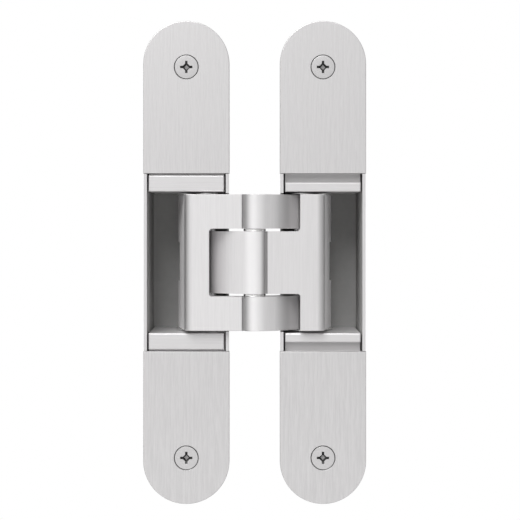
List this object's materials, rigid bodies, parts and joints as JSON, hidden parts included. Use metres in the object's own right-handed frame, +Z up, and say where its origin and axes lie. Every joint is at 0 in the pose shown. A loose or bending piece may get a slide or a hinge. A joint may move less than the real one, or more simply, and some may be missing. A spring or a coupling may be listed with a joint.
{
  "type": "concealed door hinge",
  "caption": "Concealed door hinge: round-ended covers on deep cups, joined by a fork arm and a tongue arm that fold into the cups as the door closes.",
  "frame": {"origin": "centre of the frame cup's four fixing holes, on the back of its flange, which seats on the door frame", "axes": "+X towards the door cup with the hinge open, +Y into the door frame, +Z up along the plates"},
  "size_m": [0.0724, 0.0369, 0.157],
  "materials": {
    "satin_nickel": "satin",
    "cast_housing": "satin",
    "bright_steel": "polished",
    "white_glide": "satin"
  },
  "bodies": {
    "frame_cup": {"frame_housing": "cast_housing", "frame_upper_cover": "satin_nickel", "frame_lower_cover": "satin_nickel", "frame_cover_screws": "bright_steel", "frame_upper_block": "satin_nickel", "frame_lower_block": "satin_nickel", "frame_clamp_screws": "bright_steel", "frame_arm_pin": "bright_steel", "frame_pin_washers": "bright_steel", "frame_link_pin": "bright_steel", "frame_pin_sleeves": "bright_steel"},
    "tongue": {"tongue_arm": "satin_nickel", "tongue_end_pin": "bright_steel", "tongue_glides": "white_glide", "centre_pin": "bright_steel", "centre_washers": "bright_steel"},
    "fork": {"fork_arm": "satin_nickel", "fork_end_pin": "bright_steel", "fork_glides": "white_glide"},
    "door_cup": {"door_housing": "cast_housing", "door_upper_cover": "satin_nickel", "door_lower_cover": "satin_nickel", "door_cover_screws": "bright_steel", "door_upper_block": "satin_nickel", "door_lower_block": "satin_nickel", "door_clamp_screws": "bright_steel", "door_arm_pin": "bright_steel", "door_pin_washers": "bright_steel", "door_link_pin": "bright_steel", "door_pin_sleeve": "bright_steel"},
    "frame_guide": {"frame_link": "cast_housing"},
    "door_guide": {"door_link": "cast_housing"}
  },
  "joints": [
    {"name": "tongue_swing", "type": "hinge", "parent": "frame_cup", "child": "tongue", "pos_m": [0.0065, 0.00525, 0], "axis": [0, 0, 1], "range_deg": [-99.3, 0]},
    {"name": "arm_fold", "type": "hinge", "parent": "tongue", "child": "fork", "pos_m": [0.0222, -0.00575, 0], "axis": [0, 0, 1], "range_deg": [0, 18.61]},
    {"name": "door_swing", "type": "hinge", "parent": "fork", "child": "door_cup", "pos_m": [0.0379, 0.00525, 0], "axis": [0, 0, 1], "range_deg": [-99.31, 0]},
    {"name": "frame_link_swing", "type": "hinge", "parent": "frame_cup", "child": "frame_guide", "pos_m": [0.0049, 0.0227, 0], "axis": [0, 0, 1], "range_deg": [0, 32.67]},
    {"name": "door_link_swing", "type": "hinge", "parent": "door_cup", "child": "door_guide", "pos_m": [0.0395, 0.0227, 0], "axis": [0, 0, 1], "range_deg": [-32.67, 0]}
  ],
  "couplings": [
    {"joint": "arm_fold", "follows": "tongue_swing", "ratio": -0.18731},
    {"joint": "door_swing", "follows": "tongue_swing", "ratio": 1},
    {"joint": "frame_link_swing", "follows": "tongue_swing", "ratio": -0.3289},
    {"joint": "door_link_swing", "follows": "tongue_swing", "ratio": 0.3289}
  ]
}
